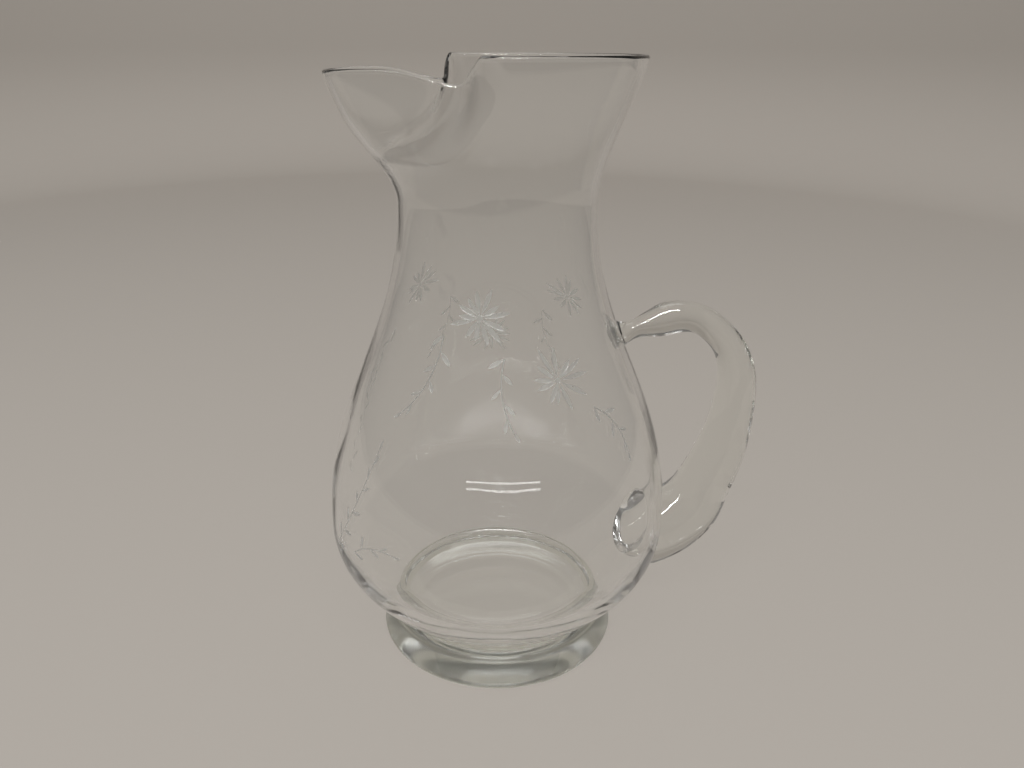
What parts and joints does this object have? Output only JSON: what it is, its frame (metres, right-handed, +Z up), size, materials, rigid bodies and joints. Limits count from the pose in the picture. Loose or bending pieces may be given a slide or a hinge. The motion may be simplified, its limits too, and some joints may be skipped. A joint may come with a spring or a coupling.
{
  "type": "cocktail pitcher",
  "caption": "Clear glass pitcher with a pear-shaped body, narrow neck, flared mouth, pinched ice-guard spout, thick round foot and a drawn loop handle.",
  "frame": {"origin": "centre of the flat base of the foot, on the table", "axes": "+Z up, towards the mouth; +X towards the handle; the spout points along -X; +Y completes the right-handed frame"},
  "size_m": [0.1947, 0.1496, 0.2541],
  "materials": {
    "clear_glass": "polished, hand-blown, with a light wheel-cut floral pattern"
  },
  "bodies": {
    "root": {"bowl": "clear_glass", "foot": "clear_glass", "handle": "clear_glass"}
  },
  "joints": []
}
